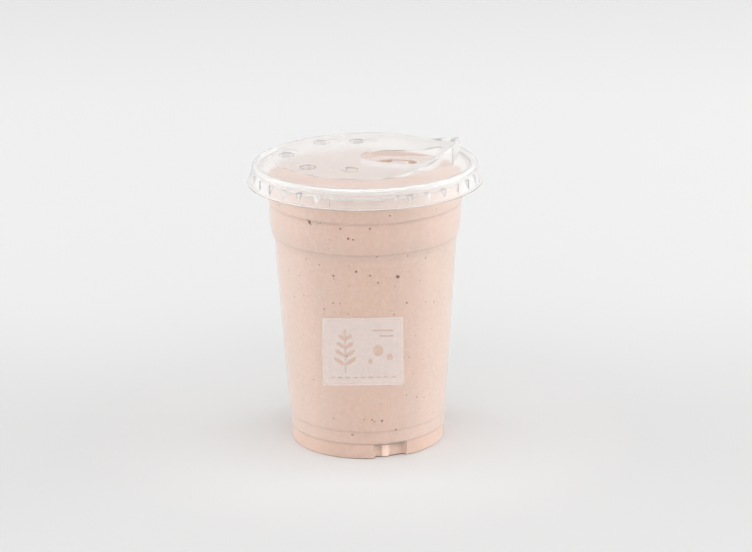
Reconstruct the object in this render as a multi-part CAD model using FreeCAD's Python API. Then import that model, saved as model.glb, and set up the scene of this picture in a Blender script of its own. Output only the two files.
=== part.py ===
"""Strawberry smoothie in a clear takeaway cup with a press-on sip lid.

Millimetres. +Z is up, the origin is the centre of the foot, and the printed side of the cup
faces -Y. The sizes are those of the outside, and each thin wall lies inside them.
    cup       thin moulded cup with a notched foot, a wider drinking band and a rolled rim
    smoothie  the drink, which fills the inside of the cup up to its level
    lid       thin lid with a lugged skirt, a flat panel and a raised spout round a sip well
"""
import FreeCAD, Part
import math
import os

# ---- cup ------------------------------------------------------------------------------------
cup_wall = 0.5
rim_radius = 46.1            # outside of the rolled rim
rim_height = 119.35          # top of the rim
rim_roll = 1.1               # radius of the roll

foot_radius = 32.3
foot_rounding = 0.8
foot_ring_width = 4.0        # flat ring that the cup stands on
push_up = 2.6                # how far the bottom panel is pushed up inside the ring
push_up_run = 1.2            # width of the sloping wall inside the ring
push_up_rounding = 1.5
ledge_height = 6.6           # a small ledge runs round the cup above the foot
ledge_width = 0.3
heel_height = 12.2           # a hairline step ends the heel, and the body starts
heel_flare = 0.5             # how much wider the heel gets than the foot
heel_step = 0.2

# each drop is measured down from the top of the rim, and each inset inwards from its edge
body_top_drop = 32.05
body_top_inset = 8.15
flare_rounding = 6.0
band_drop = 28.95            # lower edge of the wider drinking band
band_inset = 7.05
swell_drop = 23.95
swell_inset = 6.25
swell_rounding = 30.0
band_top_drop = 15.85
band_top_inset = 6.1
collar_step = 0.25           # hairline step between the band and the collar
collar_top_inset = 5.7
shoulder_drop = 5.75         # here the collar turns out towards the rim
shoulder_rise = 1.8
edge_rounding = 0.25

notch_count = 3              # recesses in the foot that keep stacked cups apart
notch_angle = -73.0          # the middle of the first one
notch_sweep = 24.0
notch_depth = 2.4
notch_height = 6.0
notch_rounding = 0.9
notch_rib_radius = 3.0       # a soft rib stands in each recess
notch_rib_rise = 0.7
notch_rib_offset = -3.5      # degrees from the middle of the recess

# ---- drink ----------------------------------------------------------------------------------
drink_drop = 5.45            # from the top of the rim down to the level of the drink

# ---- lid ------------------------------------------------------------------------------------
lid_wall = 0.4
lid_turn = -12.0             # how far the lid is turned on the cup; its spout starts from +X
seat_clearance = 0.25        # gap at each side between the rim and the bead that grips it
skirt_drop = 6.2             # from the middle of the bead down to the lip
skirt_flare = 1.2            # how much wider the skirt is at the lip than at the bead
lip_width = 0.75
lip_thickness = 0.45
plug_depth = 0.3             # how far the bead reaches down inside the rim
valley_rounding = 0.3
panel_inset = 7.8            # from the edge of the rim in to the edge of the flat panel
panel_rise = 2.65            # from the top of the rim up to the panel

lug_pitch = 10.0             # dents in the skirt that grip under the rim
lugs_per_side = 14
first_lug_angle = 23.2       # from the middle of the plain stretch to the first full dent
faint_lug_angle = 16.4       # a shallower dent stands at each end of the plain stretch
plain_stretch_angle = -79.0  # from the spout to the middle of the plain stretch
lug_width = 2.9
lug_length = 3.6
lug_depth = 1.1
faint_lug_depth = 0.5
lug_gap = 0.25               # between the dents and the rim above them

crest_start = 16.0           # along the axis of the spout, where its crest starts to rise
crest_sweep = 38.0           # radius of the rise, which leaves the panel level
land_start = 16.8            # the top inside the crest rises a little less
land_sweep = 40.0
crest_width = 1.4
steepest_rise = 60.0         # degrees of each arc that are drawn; the nose ends it sooner
spout_inset = 0.15           # how far the spout's round side stands inside the panel's edge
cheek_angle = 25.0           # where the round side turns into a straight cheek
nose_half_width = 8.0
nose_rounding = 1.6

well_floor_rise = 0.15       # from the top of the rim up to the floor of the sip well
well_tail_centre = 7.5
well_tail_radius = 9.1
well_corner_centre = (25.4, 7.5)
well_corner_radius = 5.0
well_draft = 9.0             # degrees

sip_hole_centre = 13.4
sip_hole_length = 17.0
sip_hole_width = 11.0
sip_tab_offset = 1.3         # the tongue left in the hole stands off its middle
sip_tab_width = 7.0
sip_tab_length = 8.4
vent_radius = 0.6
vent_place = (-0.5, 12.4)

button_angles = (77.0, 114.0, 176.0, 232.0, 276.0)
button_circle_centre = -8.5
button_circle_radius = 23.8
button_radius = 3.6
button_rise = 0.55

reach = 70.0                 # wider than the whole, for cutters that pass right through
overshoot = 1.0              # how far a cutter runs past the face that it opens

vector = FreeCAD.Vector
origin = vector(0, 0, 0)
axis_z = vector(0, 0, 1)


# ---- drawing: a corner is (across, up, rounding) ----------------------------------------------
def parallel(corners, distance):
    """The same open outline, moved to its left by distance."""
    sides = []
    for (x0, y0, _), (x1, y1, _) in zip(corners, corners[1:]):
        length = math.hypot(x1 - x0, y1 - y0)
        across = -(y1 - y0) / length * distance
        up = (x1 - x0) / length * distance
        sides.append((x0 + across, y0 + up, x1 - x0, y1 - y0))
    moved = [(sides[0][0], sides[0][1], 0)]
    for (ax, ay, adx, ady), (bx, by, bdx, bdy), corner in zip(sides, sides[1:], corners[1:]):
        turn = adx * bdy - ady * bdx
        along = ((bx - ax) * bdy - (by - ay) * bdx) / turn
        rounding = corner[2]
        if rounding > 0:
            rounding = max(rounding - math.copysign(1, turn) * distance, 0)
        moved.append((ax + along * adx, ay + along * ady, rounding))
    last = sides[-1]
    moved.append((last[0] + last[2], last[1] + last[3], 0))
    return moved


def upright(x, y):
    """Places a drawing in the plane that is turned round the cup's axis."""
    return vector(x, 0, y)


def flat(x, y):
    """Places a drawing in the horizontal plane."""
    return vector(x, y, 0)


def rounded(corners, place):
    """Lines and tangent arcs along an open outline."""
    points = [place(x, y) for x, y, _ in corners]
    edges = []
    start = points[0]

    def line_to(end):
        if start.distanceToPoint(end) > 1e-6:
            edges.append(Part.LineSegment(start, end).toShape())

    for before, corner, after, (_, _, rounding) in zip(points, points[1:], points[2:], corners[1:]):
        incoming = (corner - before).normalize()
        outgoing = (after - corner).normalize()
        half_turn = incoming.getAngle(outgoing) / 2
        if rounding <= 0:
            line_to(corner)
            start = corner
            continue
        cut_back = rounding * math.tan(half_turn)
        arc_start = corner - incoming * cut_back
        arc_end = corner + outgoing * cut_back
        inward = (outgoing - incoming).normalize()
        arc_middle = corner + inward * rounding * (1 / math.cos(half_turn) - 1)
        line_to(arc_start)
        edges.append(Part.Arc(arc_start, arc_middle, arc_end).toShape())
        start = arc_end
    line_to(points[-1])
    return edges


def closed(edges):
    """One closed wire; a straight line joins the ends if they are apart."""
    first = edges[0].Vertexes[0].Point
    last = edges[-1].Vertexes[-1].Point
    if first.distanceToPoint(last) > 1e-6:
        edges = edges + [Part.LineSegment(last, first).toShape()]
    return Part.Wire(edges)


def turned(corners):
    """Solid of revolution of a closed-up outline about the cup's axis."""
    return Part.Face(closed(rounded(corners, upright))).revolve(origin, axis_z, 360)


def at_height(wire, height):
    """A copy of a horizontal wire at a height."""
    return wire.translated(vector(0, 0, height))


def column(wire, low, high):
    """A straight prism on a horizontal wire."""
    return Part.Face(at_height(wire, low)).extrude(vector(0, 0, high - low))


def around(shape, angle):
    """A copy turned about the cup's axis."""
    return shape.rotated(origin, axis_z, angle)


# ---- cup and drink ----------------------------------------------------------------------------
def cup_outline():
    """Outside of the cup, from the middle of its bottom up to where the roll of the rim starts."""
    ring_inner = foot_radius - foot_ring_width
    throat = rim_radius - 2 * rim_roll + cup_wall
    turn_out = cup_wall + 2 * edge_rounding
    heel_radius = foot_radius + heel_flare
    band_top_radius = rim_radius - band_top_inset
    band_top = rim_height - band_top_drop
    shoulder = rim_height - shoulder_drop
    return [
        (0, push_up, 0),
        (ring_inner - push_up_run, push_up, push_up_rounding),
        (ring_inner, 0, foot_rounding),
        (foot_radius, 0, foot_rounding),
        (foot_radius, ledge_height, 0),
        (foot_radius + ledge_width, ledge_height + ledge_width, edge_rounding),
        (heel_radius, heel_height, edge_rounding),
        (heel_radius + heel_step, heel_height + heel_step, edge_rounding),
        (rim_radius - body_top_inset, rim_height - body_top_drop, flare_rounding),
        (rim_radius - band_inset, rim_height - band_drop, edge_rounding),
        (rim_radius - swell_inset, rim_height - swell_drop, swell_rounding),
        (band_top_radius, band_top, edge_rounding),
        (band_top_radius + collar_step, band_top + collar_step, edge_rounding),
        (rim_radius - collar_top_inset, shoulder, turn_out),
        (throat, shoulder + shoulder_rise, turn_out),
        (throat, rim_height - rim_roll, 0),
    ]


def rim_outline():
    """The hollow side of the rolled rim, from the throat over the top and back under."""
    inner = rim_radius - 2 * rim_roll + cup_wall
    outer = rim_radius - cup_wall
    top = rim_height - cup_wall
    bottom = rim_height - 2 * rim_roll + cup_wall
    roll = rim_roll - cup_wall
    return [
        (inner, top, roll),
        (outer, top, roll),
        (outer, bottom, roll),
        (outer - roll - edge_rounding, bottom, 0),
    ]


def notch(grow):
    """One recess of the foot as a cutter, at the angle 0, with its faces moved out by grow."""
    half = math.radians(notch_sweep / 2)
    back = foot_radius - notch_depth - grow
    side = foot_radius * math.sin(half) + grow
    front = foot_radius + notch_depth + overshoot
    edges = rounded([
        (front, -side, 0),
        (back * math.cos(half), -side, notch_rounding + grow),
        (back / math.cos(half / 2), 0, back),
        (back * math.cos(half), side, notch_rounding + grow),
        (front, side, 0),
    ], flat)
    recess = column(closed(edges), -overshoot, notch_height + grow)
    rib_centre = around(Part.Vertex(back + notch_rib_rise - notch_rib_radius + 2 * grow, 0, 0),
                        notch_rib_offset).Point
    rib = Part.makeCylinder(notch_rib_radius - grow, notch_height + grow, rib_centre, axis_z)
    return recess.cut(rib)


def inside_of_cup():
    """The space within the cup's wall, up to where the roll of the rim starts."""
    corners = parallel(cup_outline(), cup_wall)
    space = turned(corners + [(0, corners[-1][1], 0)])
    return space.cut(notches(cup_wall))


def notches(grow):
    """Every recess of the foot."""
    one = notch(grow)
    turns = [notch_angle + index * 360 / notch_count for index in range(notch_count)]
    return Part.makeCompound([around(one, turn) for turn in turns])


def make_cup():
    outside = cup_outline()[:-1] + rim_outline()
    roll = parallel(outside, cup_wall)[:-len(rim_outline()) - 1:-1]
    throat, _, _ = roll[-1]
    top = rim_height - rim_roll
    filled = turned(outside + roll + [(throat, top, 0), (0, top, 0)])
    return filled.cut(notches(0)).cut(inside_of_cup())


def make_smoothie():
    below_level = Part.makeCylinder(reach, rim_height - drink_drop)
    return inside_of_cup().common(below_level)


# ---- lid: drawn with its spout along +X, then turned onto the cup -------------------------------
bead_radius = rim_radius - rim_roll
bead_roll = rim_roll + seat_clearance + lid_wall
bead_height = rim_height + lid_wall - bead_roll
skirt_top_radius = bead_radius + bead_roll
lip_height = bead_height - skirt_drop
skirt_slope = skirt_flare / skirt_drop
panel_radius = rim_radius - panel_inset
panel_height = rim_height + panel_rise
well_floor_height = rim_height + well_floor_rise


def skirt_radius(height):
    return skirt_top_radius + (bead_height - height) * skirt_slope


def lid_outline():
    """Outside of the skirt, bead and dome, from below the lip up past the panel."""
    low = lip_height - overshoot
    bead_top = bead_height + bead_roll
    valley = bead_radius - bead_roll
    valley_height = bead_height - plug_depth
    dome_slope = (valley - panel_radius) / (panel_height - valley_height)
    peak = panel_height + 2 * overshoot
    return [
        (skirt_radius(low), low, 0),
        (skirt_top_radius, bead_height, 0),
        (skirt_top_radius, bead_top, bead_roll),
        (valley, bead_top, bead_roll),
        (valley, valley_height, valley_rounding),
        (panel_radius - (peak - panel_height) * dome_slope, peak, 0),
    ]


def spout_wire(grow):
    """Outline of the spout from above: the round panel's edge, two cheeks and a flat nose."""
    radius = panel_radius - spout_inset + grow
    turn = math.radians(cheek_angle)
    cheek = (radius * math.cos(turn), radius * math.sin(turn))
    along_cheek = (cheek[1] - nose_half_width) / math.cos(turn)
    nose = cheek[0] + along_cheek * math.sin(turn)
    front = rounded([
        (cheek[0], -cheek[1], 0),
        (nose, -nose_half_width, nose_rounding + grow),
        (nose, nose_half_width, nose_rounding + grow),
        (cheek[0], cheek[1], 0),
    ], flat)
    back = Part.Arc(flat(*cheek), flat(-radius, 0), flat(cheek[0], -cheek[1])).toShape()
    return Part.Wire(front + [back])


def under_sweep(start, sweep, inset):
    """All that lies below the panel and the spout's rise."""
    level = panel_height - inset
    centre = vector(start, 0, panel_height + sweep)
    radius = sweep + inset
    steep = math.radians(steepest_rise)
    points = [
        vector(start, -reach, level),
        centre + vector(radius * math.sin(steep / 2), -reach, -radius * math.cos(steep / 2)),
        centre + vector(radius * math.sin(steep), -reach, -radius * math.cos(steep)),
    ]
    rise = Part.Arc(*points).toShape()
    low = lip_height - 2 * overshoot
    wire = Part.makePolygon([
        points[2],
        vector(points[2].x, -reach, low),
        vector(-reach, -reach, low),
        vector(-reach, -reach, level),
        points[0],
    ])
    return Part.Face(Part.Wire([rise] + wire.Edges)).extrude(vector(0, 2 * reach, 0))


def spout_column(grow):
    """The spout's upright body."""
    low = bead_height - plug_depth
    high = panel_height + crest_sweep / 2
    return column(spout_wire(grow), low, high)


def well_wire(grow):
    """Outline of the sip well from above: a round tail, two straight sides, a blunt front."""
    tail = vector(well_tail_centre, 0, 0)
    corner = vector(*well_corner_centre, 0)
    tail_radius = well_tail_radius + grow
    corner_radius = well_corner_radius + grow
    between = corner - tail
    bearing = math.atan2(between.y, between.x)
    bearing += math.acos((tail_radius - corner_radius) / between.Length)
    side = vector(math.cos(bearing), math.sin(bearing), 0)
    front_bearing = math.atan2(corner.y, corner.x)
    ahead = vector(math.cos(front_bearing), math.sin(front_bearing), 0)
    shoulder = (side + ahead).normalize()
    upper = [
        tail + side * tail_radius,
        corner + side * corner_radius,
        corner + shoulder * corner_radius,
        corner + ahead * corner_radius,
    ]
    lower = [vector(p.x, -p.y, 0) for p in upper]
    front = vector(upper[3].Length, 0, 0)
    back = vector(well_tail_centre - tail_radius, 0, 0)
    return Part.Wire([
        Part.LineSegment(upper[0], upper[1]).toShape(),
        Part.Arc(upper[1], upper[2], upper[3]).toShape(),
        Part.Arc(upper[3], front, lower[3]).toShape(),
        Part.Arc(lower[3], lower[2], lower[1]).toShape(),
        Part.LineSegment(lower[1], lower[0]).toShape(),
        Part.Arc(lower[0], back, upper[0]).toShape(),
    ])


def well(grow):
    """The sip well as a cutter with drafted sides, open at the top."""
    slope = math.tan(math.radians(well_draft))
    low = well_floor_height - grow
    high = panel_height + crest_sweep / 2
    foot = at_height(well_wire(grow + (low - panel_height) * slope), low)
    top = at_height(well_wire(grow + (high - panel_height) * slope), high)
    return Part.makeLoft([foot, top], True, True)


def lug(angle, depth, grow):
    """One dent of the skirt: wide under the bead, running out to a point above the lip."""
    side_angle = math.atan2(lug_width / 2, depth)
    sunk = depth + grow / math.sin(side_angle)
    top = rim_height - 2 * rim_roll - lug_gap - lid_wall + grow
    point = rim_height - 2 * rim_roll - lug_gap - lid_wall - lug_length - grow
    apex = skirt_radius(top) - sunk
    outer = skirt_radius(point) + overshoot
    half_width = (outer - apex) * math.tan(side_angle)
    fall = (top - point) * (outer - apex) / (skirt_radius(point) - apex)
    corners = [
        vector(apex, 0, top),
        vector(outer, half_width, top),
        vector(outer, -half_width, top),
        vector(outer, 0, top - fall),
    ]
    faces = []
    for skipped in range(4):
        ring = [corner for index, corner in enumerate(corners) if index != skipped]
        faces.append(Part.Face(Part.makePolygon(ring + ring[:1])))
    return around(Part.Solid(Part.Shell(faces)), angle)


def lugs(grow):
    """Every dent of the skirt: two runs of full ones, and faint ones by the plain stretch."""
    angles = [first_lug_angle + index * lug_pitch for index in range(lugs_per_side)]
    dents = []
    for side in (-1, 1):
        dents += [lug(plain_stretch_angle + side * angle, lug_depth, grow) for angle in angles]
        dents.append(lug(plain_stretch_angle + side * faint_lug_angle, faint_lug_depth, grow))
    return Part.makeCompound(dents)


def buttons(inset):
    """Low round domes that stand up from the panel."""
    ball = (button_radius ** 2 + button_rise ** 2) / (2 * button_rise)
    height = panel_height + button_rise - ball
    domes = []
    for angle in button_angles:
        turn = math.radians(angle)
        x = button_circle_centre + button_circle_radius * math.cos(turn)
        y = button_circle_radius * math.sin(turn)
        sphere = Part.makeSphere(ball - inset, vector(x, y, height))
        post = Part.makeCylinder(2 * button_radius, 2 * overshoot,
                                 vector(x, y, panel_height - overshoot), axis_z)
        domes.append(sphere.common(post))
    return domes


def lid_form(inset):
    """Everything within the lid's outside, or within its inside when inset is the wall."""
    corners = parallel(lid_outline(), inset)
    dome = turned([(0, corners[0][1], 0)] + corners + [(0, corners[-1][1], 0)])
    land = under_sweep(land_start, land_sweep, inset)
    crest = under_sweep(crest_start, crest_sweep, inset)
    form = dome.fuse(spout_column(-inset)).common(land)
    ridge = spout_column(-inset).cut(spout_column(inset - crest_width)).common(crest)
    form = form.fuse([ridge] + buttons(inset))
    return form.cut(well(inset)).cut(lugs(inset))


def sip_hole():
    """The opening in the floor of the well: a long round hole with a tongue left in it."""
    low = well_floor_height - lid_wall - overshoot
    high = well_floor_height + overshoot
    end = sip_hole_width / 2
    left = sip_hole_centre - sip_hole_length / 2
    right = sip_hole_centre + sip_hole_length / 2
    hole = column(closed(rounded([
        (sip_hole_centre, -end, 0),
        (right, -end, end),
        (right, end, end),
        (left, end, end),
        (left, -end, end),
        (sip_hole_centre, -end, 0),
    ], flat)), low, high)
    middle = sip_hole_centre + sip_tab_offset
    tab_left = middle - sip_tab_width / 2
    tab_right = middle + sip_tab_width / 2
    tab_end = sip_tab_length - end
    tab = column(closed(rounded([
        (tab_left, -end - overshoot, 0),
        (tab_left, tab_end, overshoot),
        (tab_right, tab_end, overshoot),
        (tab_right, -end - overshoot, 0),
    ], flat)), low, high)
    return hole.cut(tab)


def make_lid():
    lip = turned([
        (skirt_radius(lip_height) - lid_wall / 2, lip_height, 0),
        (skirt_radius(lip_height) + lip_width, lip_height, 0),
        (skirt_radius(lip_height) + lip_width, lip_height + lip_thickness, 0),
        (skirt_radius(lip_height) - lid_wall / 2, lip_height + lip_thickness, 0),
        (skirt_radius(lip_height) - lid_wall / 2, lip_height, 0),
    ])
    above_lip = Part.makeCylinder(reach, reach, vector(0, 0, lip_height))
    vent = Part.makeCylinder(vent_radius, reach, vector(*vent_place, lip_height), axis_z)
    lid = lid_form(0).cut(lid_form(lid_wall)).common(above_lip).fuse(lip)
    lid = lid.cut(sip_hole()).cut(vent).removeSplitter()
    return around(lid, lid_turn)


# ---- export ---------------------------------------------------------------------------------
def save(name, shape):
    """Writes one sub-part, which has to be a single sound solid."""
    solids = shape.Solids
    if len(solids) != 1 or not solids[0].isValid():
        raise ValueError(f"{name}: {len(solids)} solids, valid {[s.isValid() for s in solids]}")
    solids[0].exportStep(f"parts/{name}.step")
    print(f"{name}: {solids[0].Volume / 1000:.2f} ml, {len(solids[0].Faces)} faces")


os.makedirs("parts", exist_ok=True)
save("cup", make_cup())
save("smoothie", make_smoothie())
save("lid", make_lid())
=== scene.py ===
import math
import random

import bpy
from mathutils import Euler, Matrix, Vector


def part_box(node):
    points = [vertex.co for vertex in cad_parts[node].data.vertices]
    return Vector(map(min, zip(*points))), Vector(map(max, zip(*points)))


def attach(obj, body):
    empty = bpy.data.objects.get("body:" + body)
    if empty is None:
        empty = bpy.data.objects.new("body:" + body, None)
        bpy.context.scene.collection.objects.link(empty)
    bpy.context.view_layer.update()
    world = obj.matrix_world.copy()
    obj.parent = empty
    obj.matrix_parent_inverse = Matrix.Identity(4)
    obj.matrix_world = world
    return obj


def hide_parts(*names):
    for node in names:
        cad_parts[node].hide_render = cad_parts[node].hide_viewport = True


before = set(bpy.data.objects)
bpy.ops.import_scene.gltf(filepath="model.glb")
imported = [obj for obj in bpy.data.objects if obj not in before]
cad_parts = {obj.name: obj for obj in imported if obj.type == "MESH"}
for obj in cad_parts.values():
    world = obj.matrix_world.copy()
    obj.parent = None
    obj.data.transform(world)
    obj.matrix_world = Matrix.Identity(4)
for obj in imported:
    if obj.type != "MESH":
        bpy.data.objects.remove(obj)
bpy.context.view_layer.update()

mm = 0.001
scene = bpy.context.scene
lid_low, lid_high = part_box("lid")
drink_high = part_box("smoothie")[1]
level = drink_high.z

# ---- cup ----------------------------------------------------------------------------------------
weld = 0.001 * mm                        # corners nearer than this are one corner
cup_wall = 0.5 * mm
cup_sharp, drink_sharp, lid_sharp, print_sharp = 28, 35, 24, 30      # degrees between faces at an edge

# outside of the cup, from the start of its body to its collar: (height, radius), mm
outline = [(height * mm, radius * mm) for height, radius in (
    (12.4, 33.0), (87.3, 37.95), (90.4, 39.05), (95.4, 39.85), (103.5, 40.0), (103.8, 40.25), (113.0, 40.4))]

# ---- drink --------------------------------------------------------------------------------------
into_wall = 0.12 * mm                    # how far the drink reaches into the wall of the cup
surface_rings = 14                       # rings of faces on the top of the drink
at_level, near_level = 0.01 * mm, 0.2 * mm
wave_height, wave_length = 0.5 * mm, 14 * mm
calm_edge, calm_growth = 2 * mm, 6 * mm  # no waves this near to the wall, and full ones after the growth

# painted shade on the drink: darker rings where the wall steps in, and a darker top: (height, half of the
# width, colour)
ring_span = 120 * mm
painted_shade_rings = [
    (6.3 * mm, 0.55 * mm, (0.78, 0.72, 0.7)),
    (11.9 * mm, 0.45 * mm, (0.9, 0.84, 0.81)),
    (89.9 * mm, 0.6 * mm, (0.84, 0.77, 0.74)),
    (103.1 * mm, 0.6 * mm, (0.87, 0.8, 0.77)),
    (114.1 * mm, 1.3 * mm, (0.53, 0.44, 0.4)),
]
# painted light: the drink is lighter and pinker inside the notches of the foot, where they lie in shade
recess_light_span = 40 * mm
recess_light_inside = (0.77, 0.785)            # shares of the recess span, out to the backs of the notches
recess_light_under = (0.055, 0.06)             # shares of the ring span, up to their tops

# the larger seeds that lie against the wall at the front: (degrees from the front, height, width), mm
front_seeds = [
    (-34.6, 102.9, 1.5), (-36.0, 103.7, 0.6), (-33.6, 101.9, 0.5), (20.2, 80.0, 1.05),
    (-27.2, 103.2, 0.5), (-14.8, 101.5, 0.6), (2.6, 101.7, 0.6), (-10.2, 97.5, 0.75),
    (-7.3, 97.1, 0.6), (6.7, 89.5, 0.55), (26.4, 88.6, 0.5), (40.3, 86.0, 0.6),
    (-6.1, 83.0, 0.75), (-20.9, 80.7, 0.75), (2.5, 81.3, 0.65), (7.4, 78.1, 0.5),
    (26.8, 68.1, 0.7), (-54.2, 67.7, 0.55), (-30.2, 84.7, 0.45), (-2.7, 17.9, 0.45),
    (3.0, 17.8, 0.45), (10.2, 17.1, 0.6), (-11.6, 10.9, 0.7), (20.7, 12.4, 0.6),
]
front_seed_growth = 1.35
small_seeds, seed_draw = 320, 11
seed_low, seed_high = 14, 112            # mm
seed_widths = (0.24, 0.3, 0.36, 0.45, 0.6)
seed_depth = cup_wall - 0.1 * mm         # from the outside of the cup to the middle of a seed
small_bubbles, bubble_draw = 420, 23
bubble_low, bubble_high = 8, 112         # mm
bubble_crowds = ((86, 9), (101, 4))      # heights where more bubbles gather, and their spread, mm
bubble_widths = (0.3, 0.36, 0.45, 0.55, 0.7)
bubble_depth = cup_wall + 0.05 * mm
seed_stretch, bubble_stretch = (0.7, 1.3), (0.85, 1.15)
grain_flatness, grain_tilt = 0.55, 1.5   # tilt in radians to either side

# ---- lid ----------------------------------------------------------------------------------------
bead_resolution = 2
crease_width = 0.13 * mm                 # radius of the beads along the creases
crease_low, crease_radius = 121.95 * mm, 39.6 * mm
dent_low, dent_high, dent_radius = 112.6 * mm, 117.4 * mm, 45.4 * mm
lip_width = 0.15 * mm
lip_rise, lip_inset = 0.05 * mm, 0.25 * mm
panel_height = 122.0 * mm                # the flat of the lid, with its low round buttons
button_angles = (77.0, 114.0, 176.0, 232.0, 276.0)
button_centre, button_circle = -8.5 * mm, 23.8 * mm
button_rings = ((3.2 * mm, 0.16 * mm), (1.9 * mm, 0.44 * mm))    # (radius, height over the panel)
mark_width = 0.13 * mm
mark_segments = (64, 8)                  # round the ring and round its section

# ---- print --------------------------------------------------------------------------------------
border_size = (33.2 * mm, 27.9 * mm)     # the square of ink on the front, with its border
field_size = (30.8 * mm, 25.5 * mm)
print_middle = Vector((-1.7 * mm, -35.2 * mm, 48.2 * mm))
print_tilt = 17.5                        # degrees that its art is thrown downwards, which bows it
print_strip, print_row, print_rows = 1.03 * mm, 2.1 * mm, 6
print_throw = 60 * mm
print_lift = 0.06 * mm
print_thickness = 0.03 * mm
slab_thickness, cutter_length = 0.4 * mm, 4 * mm

# ---- finishes -----------------------------------------------------------------------------------
# the milky share of the plastic, by how far it slants: (slant, share)
cup_haze = ((0.0, 0.02), (0.05, 0.05), (0.25, 0.17), (0.5, 0.24), (1.0, 0.26))
lid_haze = ((0.0, 0.17), (0.3, 0.17), (0.7, 0.18), (1.0, 0.24))
# the pink milk of the foot is painted light that lifts the shade in its notches
body_milk, foot_painted_light, lid_milk = (0.84, 0.84, 0.84), (0.93, 0.81, 0.75), (0.93, 0.89, 0.87)
foot_painted_light_share = 0.14
foot_span = 20 * mm
cup_tint, lid_tint, no_tint = (0.97, 0.97, 0.965), (0.97, 0.97, 0.97), (1, 1, 1)
field_ink, field_share = (0.83, 0.75, 0.72), 0.47
border_ink, border_share = (0.88, 0.80, 0.765), 0.34
ink_change = 0.02                        # the share of ink varies by this much

# ---- studio -------------------------------------------------------------------------------------
floor_width, floor_drop = 12.0, 0.02 * mm
floor_start, floor_end = -0.1, 0.9
# painted shade on the floor by depth, and painted light round the base of the object
floor_shade_stops = ((0.0, 0.765), (0.12, 0.785), (0.29, 0.86), (0.51, 0.905), (0.71, 0.95), (0.97, 0.97))
floor_near = 200 * mm
near_light_stops = ((0.16, (1.0, 0.985, 0.98)), (0.27, 0.95), (0.6, 0.9))
lamp_aim = Vector((0, 0, 0.06))
# (name, place, size, watts, spread in degrees, mirrored in gloss)
lamps = [
    ("left_box", (-1.35, -0.1, 0.42), (1.8, 1.3), 7.4, 150, False),
    ("right_box", (1.35, -0.1, 0.42), (1.8, 1.3), 9.5, 150, False),
    ("top_box", (0.0, 0.12, 1.5), (0.8, 0.12), 3.0, 180, True),
    ("front_box", (0.0, -1.9, 1.9), (3.6, 2.2), 22.0, 180, True),
]
room_front, room_back = 0.75, 0.54       # strength of the light of the room
room_seen = (0.84, 0.84, 0.84)           # colour in which the room is seen
camera_place = (0, -1.0777, 0.4008)
camera_down, camera_side, camera_roll = 17.08, -0.22, -0.64      # degrees
camera_lens, camera_sensor = 128.9, 36.0                         # mm
camera_clip = 0.05


def wall_radius(height):
    """Outside radius of the cup at a height."""
    if height <= outline[0][0]:
        return outline[0][1]
    for (low, radius), (high, next_radius) in zip(outline, outline[1:]):
        if height <= high:
            return radius + (next_radius - radius) * (height - low) / (high - low)
    return outline[-1][1]


# ---- tools --------------------------------------------------------------------------------------
def select_only(piece):
    bpy.ops.object.select_all(action="DESELECT")
    piece.select_set(True)
    bpy.context.view_layer.objects.active = piece


def apply_modifiers(piece):
    select_only(piece)
    for modifier in list(piece.modifiers):
        bpy.ops.object.modifier_apply(modifier=modifier.name)


def select_faces(piece, test):
    """In edit mode, selects the faces that pass a test and nothing else."""
    bpy.ops.object.mode_set(mode="EDIT")
    bpy.ops.mesh.select_mode(type="FACE")
    bpy.ops.mesh.select_all(action="DESELECT")
    bpy.ops.object.mode_set(mode="OBJECT")
    for face in piece.data.polygons:
        face.select = test(face)
    bpy.ops.object.mode_set(mode="EDIT")


def plain_copy(node, name):
    """A copy of a CAD node, with its exact shading."""
    piece = bpy.data.objects.new(name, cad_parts[node].data.copy())
    scene.collection.objects.link(piece)
    return piece


def merged_copy(node, name, sharp):
    """A copy of a CAD node with its loose triangles joined up and shaded smooth."""
    piece = plain_copy(node, name)
    select_only(piece)
    bpy.ops.mesh.customdata_custom_splitnormals_clear()
    bpy.ops.object.mode_set(mode="EDIT")
    bpy.ops.mesh.select_all(action="SELECT")
    bpy.ops.mesh.remove_doubles(threshold=weld)
    bpy.ops.object.mode_set(mode="OBJECT")
    bpy.ops.object.shade_smooth_by_angle(angle=math.radians(sharp))
    piece.data.materials.clear()
    return piece


def joined(parts, name):
    """Several objects as one piece, with its place in its mesh."""
    bpy.ops.object.select_all(action="DESELECT")
    for part in parts:
        part.select_set(True)
    bpy.context.view_layer.objects.active = parts[0]
    bpy.ops.object.join()
    parts[0].name = name
    bpy.ops.object.transform_apply(location=True, rotation=True, scale=True)
    return parts[0]


def joined_smooth(parts, name):
    piece = joined(parts, name)
    select_only(piece)
    bpy.ops.object.shade_smooth()
    return piece


def finished(piece, material, slot, *nodes):
    """Gives a piece its material and its place in the frame."""
    piece.data.materials.clear()
    piece.data.materials.append(material)
    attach(piece, "root")
    if nodes:
        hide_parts(*nodes)


# ---- materials ----------------------------------------------------------------------------------
class Nodes:
    """A node tree, and the ways to add to it."""

    def __init__(self, tree):
        self.nodes = tree.nodes
        self.links = tree.links

    def fill(self, socket, value):
        """Links a pattern to a socket, or sets a plain value on it."""
        if hasattr(value, "is_linked"):
            self.links.new(value, socket)
        elif socket.type == "RGBA":
            socket.default_value = (*value, 1)
        else:
            socket.default_value = value

    def node(self, kind, **inputs):
        made = self.nodes.new(kind)
        for name, value in inputs.items():
            self.fill(made.inputs[name.replace("_", " ")], value)
        return made

    def maths(self, operation, first, second):
        made = self.nodes.new("ShaderNodeMath")
        made.operation = operation
        self.fill(made.inputs[0], first)
        self.fill(made.inputs[1], second)
        return made.outputs["Value"]

    def mixed(self, share, first, second):
        """Two shaders as one, with a share of the second."""
        both = self.nodes.new("ShaderNodeMixShader")
        for socket, value in zip(both.inputs, (share, first, second)):
            self.links.new(value, socket)
        return both.outputs["Shader"]


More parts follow.
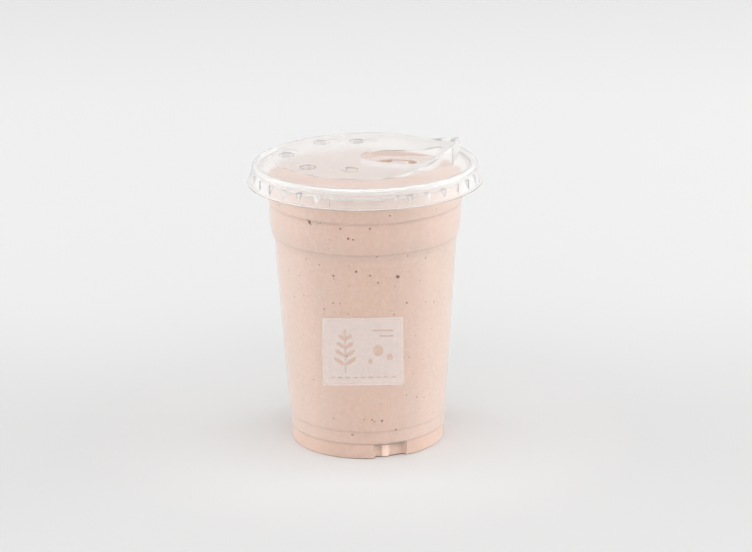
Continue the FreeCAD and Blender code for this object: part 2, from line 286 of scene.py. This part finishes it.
class Material(Nodes):
    """A node material: a Principled shader and the patterns that feed it."""

    def __init__(self, name):
        self.material = bpy.data.materials.new(name)
        self.material.use_nodes = True
        super().__init__(self.material.node_tree)
        self.shader = self.nodes["Principled BSDF"]
        self.place = self.nodes.new("ShaderNodeTexCoord").outputs["Object"]

    def set(self, **values):
        """Sets plain values on the shader, or feeds it patterns."""
        for name, value in values.items():
            self.fill(self.shader.inputs[name.replace("_", " ")], value)

    def noise(self, size, detail=2.0, roughness=0.5):
        made = self.node("ShaderNodeTexNoise", Vector=self.place, Scale=1 / size, Detail=detail,
                         Roughness=roughness)
        return made.outputs["Fac"]

    def cells(self, size):
        return self.node("ShaderNodeTexVoronoi", Vector=self.place, Scale=1 / size).outputs["Distance"]

    def along(self, axis, start, end):
        """How far along an axis a place lies: 0 at the start, 1 at the end."""
        parts = self.node("ShaderNodeSeparateXYZ", Vector=self.place)
        share = self.node("ShaderNodeMapRange", Value=parts.outputs[axis], From_Min=start, From_Max=end)
        return share.outputs["Result"]

    def away(self, end, axes=(1, 1, 1)):
        """How far from the origin a place lies, over some of the axes: 0 at the origin, 1 at the end."""
        kept = self.node("ShaderNodeVectorMath", Vector=self.place)
        kept.operation = "MULTIPLY"
        kept.inputs[1].default_value = axes
        length = self.node("ShaderNodeVectorMath", Vector=kept.outputs["Vector"])
        length.operation = "LENGTH"
        share = self.node("ShaderNodeMapRange", Value=length.outputs["Value"], From_Max=end)
        return share.outputs["Result"]

    def slant(self):
        """0 where the surface faces the look, 1 where it is seen edge on."""
        return self.node("ShaderNodeLayerWeight", Blend=0.5).outputs["Facing"]

    def ramp(self, value, *stops):
        """A colour ramp through (position, colour) stops; a colour may be one number."""
        made = self.node("ShaderNodeValToRGB", Fac=value)
        elements = made.color_ramp.elements
        while len(elements) < len(stops):
            elements.new(0.5)
        for element, (position, colour) in zip(elements, stops):
            element.position = position
            element.color = (*colour, 1) if hasattr(colour, "__len__") else (colour, colour, colour, 1)
        return made.outputs["Color"]

    def mix(self, share, first, second, blend="MIX"):
        made = self.nodes.new("ShaderNodeMix")
        made.data_type = "RGBA"
        made.blend_type = blend
        sockets = {socket.identifier: socket for socket in made.inputs}
        for name, value in (("Factor_Float", share), ("A_Color", first), ("B_Color", second)):
            self.fill(sockets[name], value)
        return next(socket for socket in made.outputs if socket.identifier == "Result_Color")

    def times(self, first, second):
        return self.mix(1.0, first, second, "MULTIPLY")

    def bump(self, height, distance, strength):
        made = self.node("ShaderNodeBump", Height=height, Distance=distance, Strength=strength)
        return made.outputs["Normal"]

    def let_light_through(self, tint, haze=None, milk=None):
        """Lamps reach what is behind the plastic; haze is the milky share of a look through it."""
        plastic = self.shader.outputs["BSDF"]
        if haze is not None:
            milky = self.node("ShaderNodeBsdfDiffuse", Color=milk)
            plastic = self.mixed(haze, plastic, milky.outputs["BSDF"])
        clear = self.node("ShaderNodeBsdfTransparent", Color=tint)
        shadow = self.nodes.new("ShaderNodeLightPath").outputs["Is Shadow Ray"]
        surface = self.mixed(shadow, plastic, clear.outputs["BSDF"])
        self.links.new(surface, self.nodes["Material Output"].inputs["Surface"])


def drink_material():
    made = Material("blended_drink")
    mottle = made.ramp(made.noise(22 * mm, 3.0), (0.35, (0.775, 0.56, 0.455)), (0.65, (0.80, 0.59, 0.485)))
    fibre = made.ramp(made.noise(1.6 * mm, 4.0, 0.7), (0.44, 0.0), (0.62, 1.0))
    colour = made.mix(fibre, mottle, (0.82, 0.625, 0.525))
    # painted shade: darker rings of the drink at the steps of the wall and on its top
    height = made.along("Z", 0.0, ring_span)
    stops = []
    for middle, half, shade in painted_shade_rings:
        stops += [((middle - half) / ring_span, 1.0), (middle / ring_span, shade),
                  ((middle + half) / ring_span, 1.0)]
    colour = made.times(colour, made.ramp(height, *stops))
    # painted light: a lighter, pinker drink in the shaded notches of the foot
    inside = made.ramp(made.away(recess_light_span, (1, 1, 0)), (recess_light_inside[0], 1.0), (recess_light_inside[1], 0.0))
    under = made.ramp(height, (recess_light_under[0], 1.0), (recess_light_under[1], 0.0))
    colour = made.mix(made.times(inside, under), colour, (0.94, 0.71, 0.6))
    specks = made.ramp(made.cells(2.3 * mm), (0.05, 1.0), (0.09, 0.0))
    made.set(Base_Color=made.mix(specks, colour, (0.69, 0.46, 0.365)),
             Roughness=made.ramp(made.noise(3 * mm), (0.3, 0.42), (0.7, 0.58)),
             Normal=made.bump(made.noise(2.2 * mm, 3.0), 0.15 * mm, 0.35),
             IOR=1.36, Subsurface_Weight=0.25, Subsurface_Scale=1.5 * mm,
             Subsurface_Radius=(1.0, 0.55, 0.4))
    return made.material


def cup_material():
    """Clear plastic that is milkier at a slant. Its foot is tinted warmer and has a pink milk: painted light
    that lifts the shade in its notches.
    """
    made = Material("cup_plastic")
    # painted light: the foot is tinted warmer and milked pink, on its shaded notches
    height = made.along("Z", 0.0, foot_span)
    made.set(Base_Color=made.ramp(height, (0.3, (0.99, 0.97, 0.955)), (0.4, (0.99, 0.99, 0.985))),
             Roughness=made.ramp(made.noise(14 * mm, 4.0), (0.3, 0.12), (0.7, 0.22)),
             Normal=made.bump(made.noise(5 * mm), 0.05 * mm, 0.3),
             Transmission_Weight=1.0, IOR=1.49)
    in_foot = made.ramp(height, (0.3, foot_painted_light_share), (0.33, 0.0))
    haze = made.mix(1.0, made.ramp(made.slant(), *cup_haze), in_foot, "LIGHTEN")
    milk = made.ramp(height, (0.3, foot_painted_light), (0.33, body_milk))
    made.let_light_through(cup_tint, haze, milk)
    return made.material


def lid_material():
    made = Material("lid_plastic")
    made.set(Base_Color=(0.985, 0.99, 0.99), Transmission_Weight=1.0, IOR=1.52,
             Roughness=made.ramp(made.noise(18 * mm, 3.0), (0.3, 0.08), (0.7, 0.14)),
             Normal=made.bump(made.noise(9 * mm), 0.06 * mm, 0.25))
    made.let_light_through(lid_tint, made.ramp(made.slant(), *lid_haze), lid_milk)
    return made.material


def crease_highlight_material():
    made = Material("crease_painted_highlight")
    # painted highlight: pale, half-clear beads that stand for the gloss of the rounded creases
    made.set(Base_Color=made.ramp(made.noise(8 * mm), (0.4, 0.3), (0.55, 0.9)),
             Roughness=0.12, IOR=1.5, Alpha=0.5)
    made.let_light_through(no_tint)
    return made.material


def lip_shade_material():
    made = Material("lip_painted_shade")
    # painted shade: a dark, half-clear line along the cut edge of the lid
    made.set(Base_Color=made.ramp(made.noise(12 * mm), (0.4, (0.3, 0.26, 0.24)), (0.6, (0.55, 0.5, 0.47))),
             Roughness=0.3, IOR=1.5, Alpha=0.65)
    made.let_light_through(no_tint)
    return made.material


def mark_shade_material():
    """Painted shade: dark, half-clear lines that break off and on along the rings."""
    made = Material("mark_painted_shade")
    broken = made.noise(2.2 * mm)
    made.set(Base_Color=made.ramp(broken, (0.4, 0.16), (0.6, 0.5)),
             Alpha=made.ramp(broken, (0.4, 0.5), (0.58, 0.06)), Roughness=0.2, IOR=1.5)
    made.let_light_through(no_tint)
    return made.material


def seed_material():
    made = Material("seed_skin")
    made.set(Base_Color=made.ramp(made.noise(0.6 * mm), (0.3, (0.20, 0.07, 0.045)), (0.7, (0.40, 0.18, 0.12))),
             Roughness=0.45)
    return made.material


def bubble_material():
    made = Material("bubble_skin")
    made.set(Base_Color=made.ramp(made.noise(3 * mm), (0.3, (0.66, 0.47, 0.39)), (0.7, (0.72, 0.55, 0.47))),
             Roughness=0.3, IOR=1.36)
    return made.material


def ink_material(name, colour, share):
    """Thin pale ink that the drink shows through."""
    made = Material(name)
    faint = tuple(0.96 * part for part in colour)
    made.set(Base_Color=made.ramp(made.noise(2.5 * mm, 3.0), (0.3, faint), (0.7, colour)),
             Alpha=made.ramp(made.noise(1.2 * mm, 3.0), (0.3, share - ink_change), (0.7, share + ink_change)),
             Roughness=0.5)
    made.let_light_through(no_tint)
    return made.material


def floor_material():
    """Pale paper with painted shade, darker beside and in front of the object than far behind it, and painted
    light just round its base.
    """
    made = Material("studio_floor")
    shade = made.ramp(made.along("Y", floor_start, floor_end), *floor_shade_stops)
    shade = made.times(shade, made.ramp(made.away(floor_near), *near_light_stops))
    grain_of_paper = made.ramp(made.noise(900 * mm, 1.0), (0.3, 0.985), (0.7, 1.0))
    made.set(Base_Color=made.times(shade, grain_of_paper), Roughness=0.9)
    return made.material


# ---- pieces -------------------------------------------------------------------------------------
def make_cup():
    finished(merged_copy("cup", "cup_shell", cup_sharp), cup_material(), "cup_plastic", "cup")


def make_lid():
    finished(plain_copy("lid", "lid_shell"), lid_material(), "lid_plastic", "lid")


def edge_beads(name, wanted, width, material):
    """Fine soft beads along the sharp edges of the lid that pass a test of their two ends."""
    lines = merged_copy("lid", name, lid_sharp)
    bpy.ops.object.mode_set(mode="EDIT")
    bpy.ops.mesh.select_mode(type="EDGE")
    bpy.ops.mesh.select_all(action="DESELECT")
    bpy.ops.mesh.edges_select_sharp(sharpness=math.radians(lid_sharp))
    bpy.ops.object.mode_set(mode="OBJECT")
    points = lines.data.vertices
    for edge in lines.data.edges:
        ends = [points[index].co for index in edge.vertices]
        edge.select = not (edge.select and wanted(ends))
    bpy.ops.object.mode_set(mode="EDIT")
    bpy.ops.mesh.delete(type="EDGE")
    bpy.ops.mesh.select_all(action="SELECT")
    bpy.ops.mesh.delete(type="ONLY_FACE")
    bpy.ops.object.mode_set(mode="OBJECT")
    bpy.ops.object.convert(target="CURVE")
    lines.data.bevel_depth = width
    lines.data.bevel_resolution = bead_resolution
    bpy.ops.object.convert(target="MESH")
    bpy.ops.object.mode_set(mode="EDIT")
    bpy.ops.mesh.select_all(action="SELECT")
    inside = 1 - width / lid_high.y
    bpy.ops.transform.resize(value=(inside, inside, 1), center_override=(0, 0, 0))
    bpy.ops.transform.translate(value=(0, 0, -width))
    bpy.ops.object.mode_set(mode="OBJECT")
    bpy.ops.object.shade_smooth()
    finished(lines, material, "lid_plastic")


def make_creases():
    """Painted highlights: pale beads along the raised creases and the dents of the sheet; and painted shade: a
    dark line along the edge of its lip.
    """
    def raised_or_dent(ends):
        raised = all(end.z > crease_low and end.xy.length < crease_radius for end in ends)
        dent = all(dent_low < end.z < dent_high and end.xy.length > dent_radius for end in ends)
        return raised or dent

    def at_lip(ends):
        return all(end.z < lid_low.z + lip_rise and end.xy.length > lid_high.y - lip_inset for end in ends)

    edge_beads("lid_creases", raised_or_dent, crease_width, crease_highlight_material())
    edge_beads("lid_lip", at_lip, lip_width, lip_shade_material())


def make_waves(drink):
    """Low waves on the top of the drink that die out towards the wall."""
    top = drink.vertex_groups.new(name="top")
    inner = wall_radius(level) - calm_edge
    for vertex in drink.data.vertices:
        if vertex.co.z > level - near_level:
            reach = (inner - vertex.co.xy.length) / calm_growth
            top.add([vertex.index], max(0.0, min(1.0, reach)), "REPLACE")
    waves = bpy.data.textures.new("drink_waves", "CLOUDS")
    waves.noise_scale = wave_length
    ripple = drink.modifiers.new("waves", "DISPLACE")
    ripple.texture = waves
    ripple.texture_coords = "LOCAL"
    ripple.vertex_group = "top"
    ripple.strength = wave_height
    ripple.direction = "Z"
    apply_modifiers(drink)


def make_drink():
    """The drink reaches just into the wall of the cup, and its top is closed with rings of faces."""
    drink = merged_copy("smoothie", "smoothie_body", drink_sharp)
    select_faces(drink, lambda face: face.center.z > level - at_level)
    bpy.ops.mesh.delete(type="FACE")
    bpy.ops.mesh.select_all(action="SELECT")
    wider = 1 + into_wall / drink_high.x
    deeper = 1 + into_wall / level
    bpy.ops.transform.resize(value=(wider, wider, deeper), center_override=(0, 0, level))
    bpy.ops.mesh.select_all(action="DESELECT")
    bpy.ops.mesh.select_mode(type="EDGE")
    bpy.ops.mesh.select_non_manifold()
    for ring in range(surface_rings):
        share = 1 - 1 / (surface_rings - ring + 0.5)
        bpy.ops.mesh.extrude_edges_move()
        bpy.ops.transform.resize(value=(share, share, 1), center_override=(0, 0, level))
    bpy.ops.mesh.edge_collapse()
    bpy.ops.mesh.select_all(action="SELECT")
    bpy.ops.mesh.normals_make_consistent(inside=False)
    bpy.ops.object.mode_set(mode="OBJECT")
    make_waves(drink)
    bpy.ops.object.shade_smooth_by_angle(angle=math.radians(drink_sharp))
    finished(drink, drink_material(), "smoothie", "smoothie")


def grain(width, angle, height, depth, stretch, tilt):
    """One seed or bubble: a small ball, flattened against the wall, at an angle from the front."""
    turn = math.radians(angle)
    radius = wall_radius(height) - depth
    place = (radius * math.sin(turn), -radius * math.cos(turn), height)
    bpy.ops.mesh.primitive_ico_sphere_add(subdivisions=2, radius=width / 2, location=place)
    piece = bpy.context.active_object
    piece.scale = (1.0, grain_flatness, stretch)
    piece.rotation_euler = (0, tilt, turn)
    return piece


def make_seeds():
    """Dark bits of skin and seeds that lie against the wall."""
    draw = random.Random(seed_draw)
    spread = [(angle, height * mm, front_seed_growth * width * mm) for angle, height, width in front_seeds]
    for _ in range(small_seeds):
        angle = draw.uniform(-180, 180)
        height = draw.uniform(seed_low, seed_high) * mm
        width = draw.choice(seed_widths) * mm
        spread.append((angle, height, width))
    seeds = []
    for angle, height, width in spread:
        stretch = draw.uniform(*seed_stretch)
        tilt = draw.uniform(-grain_tilt, grain_tilt)
        seeds.append(grain(width, angle, height, seed_depth, stretch, tilt))
    finished(joined_smooth(seeds, "seeds"), seed_material(), "smoothie")


def make_bubbles():
    """Tiny bubbles that the blending left against the wall."""
    draw = random.Random(bubble_draw)
    bubbles = []
    for _ in range(small_bubbles):
        angle = draw.uniform(-180, 180)
        anywhere = draw.uniform(bubble_low, bubble_high)
        crowded = [draw.gauss(middle, spread) for middle, spread in bubble_crowds]
        height = draw.choice((anywhere, *crowded)) * mm
        height = min(max(height, bubble_low * mm), bubble_high * mm)
        width = draw.choice(bubble_widths) * mm
        stretch = draw.uniform(*bubble_stretch)
        tilt = draw.uniform(-grain_tilt, grain_tilt)
        bubbles.append(grain(width, angle, height, bubble_depth, stretch, tilt))
    finished(joined_smooth(bubbles, "bubbles"), bubble_material(), "smoothie")


def make_button_marks():
    """Fine broken rings moulded round and on the low buttons of the lid."""
    rings = []
    bpy.ops.object.select_all(action="DESELECT")
    for angle in button_angles:
        turn = math.radians(angle)
        x = button_centre + button_circle * math.cos(turn)
        y = button_circle * math.sin(turn)
        for radius, rise in button_rings:
            bpy.ops.mesh.primitive_torus_add(
                major_radius=radius, minor_radius=mark_width, major_segments=mark_segments[0],
                minor_segments=mark_segments[1], location=(x, y, panel_height + rise))
            rings.append(bpy.context.active_object)
    finished(joined_smooth(rings, "button_marks"), mark_shade_material(), "lid_plastic")


def bar(width, height, place, angle=0.0):
    """A straight cutter that stands through the flat print."""
    bpy.ops.mesh.primitive_cube_add(size=1, location=(*place, 0), rotation=(0, 0, math.radians(angle)))
    cutter = bpy.context.active_object
    cutter.scale = (width, height, cutter_length)
    return cutter


def disc(width, height, place, angle=0.0):
    """A round or oval cutter that stands through the flat print."""
    bpy.ops.mesh.primitive_cylinder_add(vertices=40, radius=0.5, depth=1, location=(*place, 0),
                                        rotation=(0, 0, math.radians(angle)))
    cutter = bpy.context.active_object
    cutter.scale = (width, height, cutter_length)
    return cutter


def slab(name, width, height):
    """A flat sheet of ink, before it is laid round the cup."""
    bpy.ops.object.select_all(action="DESELECT")
    bpy.ops.mesh.primitive_cube_add(size=1)
    sheet = bpy.context.active_object
    sheet.name = name
    sheet.scale = (width, height, slab_thickness)
    bpy.ops.object.transform_apply(location=False, rotation=False, scale=True)
    return sheet


def cut(sheet, cutters, name):
    """Cuts shapes out of a flat sheet, all at once."""
    tool = joined(cutters, name)
    cutting = sheet.modifiers.new(name, "BOOLEAN")
    cutting.operation = "DIFFERENCE"
    cutting.solver = "EXACT"
    cutting.use_self = True
    cutting.object = tool
    apply_modifiers(sheet)
    bpy.data.objects.remove(tool)


def print_motifs():
    """A sprig with paired leaves, three berries, two short bars and a row of dashes."""
    left = -7.2 * mm
    leaf_width, leaf_turn = 1.5 * mm, 34
    cutters = [bar(0.5 * mm, 14.5 * mm, (left, -1.2 * mm))]
    for step in range(4):
        height = (-5.2 + 3.3 * step) * mm
        length = (5.2 - 0.7 * step) * mm
        for side in (-1, 1):
            place = (left + side * 0.46 * length, height + 1.3 * mm)
            cutters.append(disc(length, leaf_width, place, side * leaf_turn))
    cutters.append(disc(1.3 * mm, 3.0 * mm, (left, 7.6 * mm)))
    for x, y, width in ((6.2, 0.4, 4.4), (11.0, -2.2, 2.6), (3.0, -4.0, 1.8)):
        cutters.append(disc(width * mm, width * mm, (x * mm, y * mm)))
    bars_right = 12.6
    for y, width in ((8.6, 8.4), (6.4, 5.6)):
        cutters.append(bar(width * mm, 0.55 * mm, ((bars_right - width / 2) * mm, y * mm)))
    dashes, dash_step, dash_height = 9, 3.1, -10.6
    for index in range(dashes):
        x = (index - dashes // 2) * dash_step
        cutters.append(bar(1.9 * mm, 0.5 * mm, (x * mm, dash_height * mm)))
    return cutters


def cut_across(place, normal):
    bpy.ops.mesh.select_all(action="SELECT")
    bpy.ops.mesh.bisect(plane_co=place, plane_no=normal)


def lay_round_cup(sheet):
    """Throws a flat sheet onto the cup, as a projector would, and gives it its thickness."""
    bpy.context.view_layer.objects.active = sheet
    select_faces(sheet, lambda face: face.normal.z < 0.9)
    bpy.ops.mesh.delete(type="FACE")
    bpy.ops.mesh.select_all(action="SELECT")
    half = sheet.dimensions.x / 2
    for step in range(1, int(2 * half / print_strip)):
        cut_across((-half + step * print_strip, 0, 0), (1, 0, 0))
    for step in range(-print_rows, print_rows + 1):
        cut_across((0, step * print_row, 0), (0, 1, 0))
    bpy.ops.object.mode_set(mode="OBJECT")
    tilt = math.radians(90 - print_tilt)
    sheet.rotation_euler = (tilt, 0, 0)
    sheet.location = print_middle + print_throw * Vector((0, -math.sin(tilt), math.cos(tilt)))
    laid = sheet.modifiers.new("laid", "SHRINKWRAP")
    laid.target = bpy.data.objects["cup_shell"]
    laid.wrap_method = "PROJECT"
    laid.use_project_z = True
    laid.use_negative_direction = True
    laid.use_positive_direction = False
    laid.offset = print_lift
    thick = sheet.modifiers.new("thick", "SOLIDIFY")
    thick.thickness = print_thickness
    thick.offset = 1.0
    apply_modifiers(sheet)
    bpy.ops.object.transform_apply(location=True, rotation=True, scale=True)
    bpy.ops.object.shade_smooth_by_angle(angle=math.radians(print_sharp))


def make_print():
    """A square of pale ink with a generic design left out of it, in a paler border."""
    field = slab("print_field", *field_size)
    cut(field, print_motifs(), "motifs")
    border = slab("print_border", *border_size)
    cut(border, [bar(*field_size, (0, 0))], "window")
    inks = ((field, ink_material("print_ink", field_ink, field_share)),
            (border, ink_material("border_ink", border_ink, border_share)))
    for sheet, ink in inks:
        lay_round_cup(sheet)
        finished(sheet, ink, "cup_plastic")


# ---- stage, light and camera --------------------------------------------------------------------
def make_floor():
    bpy.ops.object.select_all(action="DESELECT")
    bpy.ops.mesh.primitive_plane_add(size=floor_width, location=(0, 0, -floor_drop))
    floor = bpy.context.active_object
    floor.name = "studio_floor"
    floor.data.materials.append(floor_material())


def soft_box(name, place, size, power, spread, mirrored):
    light = bpy.data.lights.new(name, "AREA")
    light.shape = "RECTANGLE"
    light.size, light.size_y = size
    light.energy = power
    light.spread = math.radians(spread)
    lamp = bpy.data.objects.new(name, light)
    lamp.location = place
    lamp.rotation_euler = (lamp_aim - Vector(place)).to_track_quat("-Z", "Y").to_euler()
    lamp.visible_camera = False
    lamp.visible_glossy = mirrored
    scene.collection.objects.link(lamp)


def make_room():
    """A dim room, brighter in front, that the camera, gloss and clear plastic see as one pale wall."""
    world = bpy.data.worlds.new("studio")
    world.use_nodes = True
    made = Nodes(world.node_tree)
    direction = made.nodes.new("ShaderNodeTexCoord").outputs["Generated"]
    parts = made.node("ShaderNodeSeparateXYZ", Vector=direction)
    strength = made.node("ShaderNodeMapRange", Value=parts.outputs["Y"], From_Min=-1.0, From_Max=0.6,
                         To_Min=room_front, To_Max=room_back)
    room = made.nodes["Background"]
    made.fill(room.inputs["Color"], (1, 1, 1))
    made.fill(room.inputs["Strength"], strength.outputs["Result"])
    seen = made.node("ShaderNodeBackground", Color=room_seen)
    path = made.nodes.new("ShaderNodeLightPath").outputs
    through = made.maths("MAXIMUM", path["Is Glossy Ray"], path["Is Transmission Ray"])
    looking = made.maths("MAXIMUM", path["Is Camera Ray"], through)
    before_matt = made.maths("LESS_THAN", path["Diffuse Depth"], 0.5)
    share = made.maths("MULTIPLY", looking, before_matt)
    surface = made.mixed(share, room.outputs["Background"], seen.outputs["Background"])
    made.links.new(surface, made.nodes["World Output"].inputs["Surface"])
    scene.world = world


def make_light():
    for lamp in lamps:
        soft_box(*lamp)
    make_room()
    scene.view_settings.view_transform = "Standard"


def make_camera():
    camera = bpy.data.objects.new("camera", bpy.data.cameras.new("camera"))
    camera.location = camera_place
    turn = Euler((math.radians(90 - camera_down), 0, math.radians(camera_side))).to_matrix()
    camera.rotation_euler = (turn @ Matrix.Rotation(math.radians(camera_roll), 3, "Z")).to_euler()
    camera.data.lens = camera_lens
    camera.data.sensor_width = camera_sensor
    camera.data.clip_start = camera_clip
    scene.collection.objects.link(camera)
    scene.camera = camera


make_cup()
make_drink()
make_lid()
make_creases()
make_button_marks()
make_seeds()
make_bubbles()
make_print()
make_floor()
make_light()
make_camera()
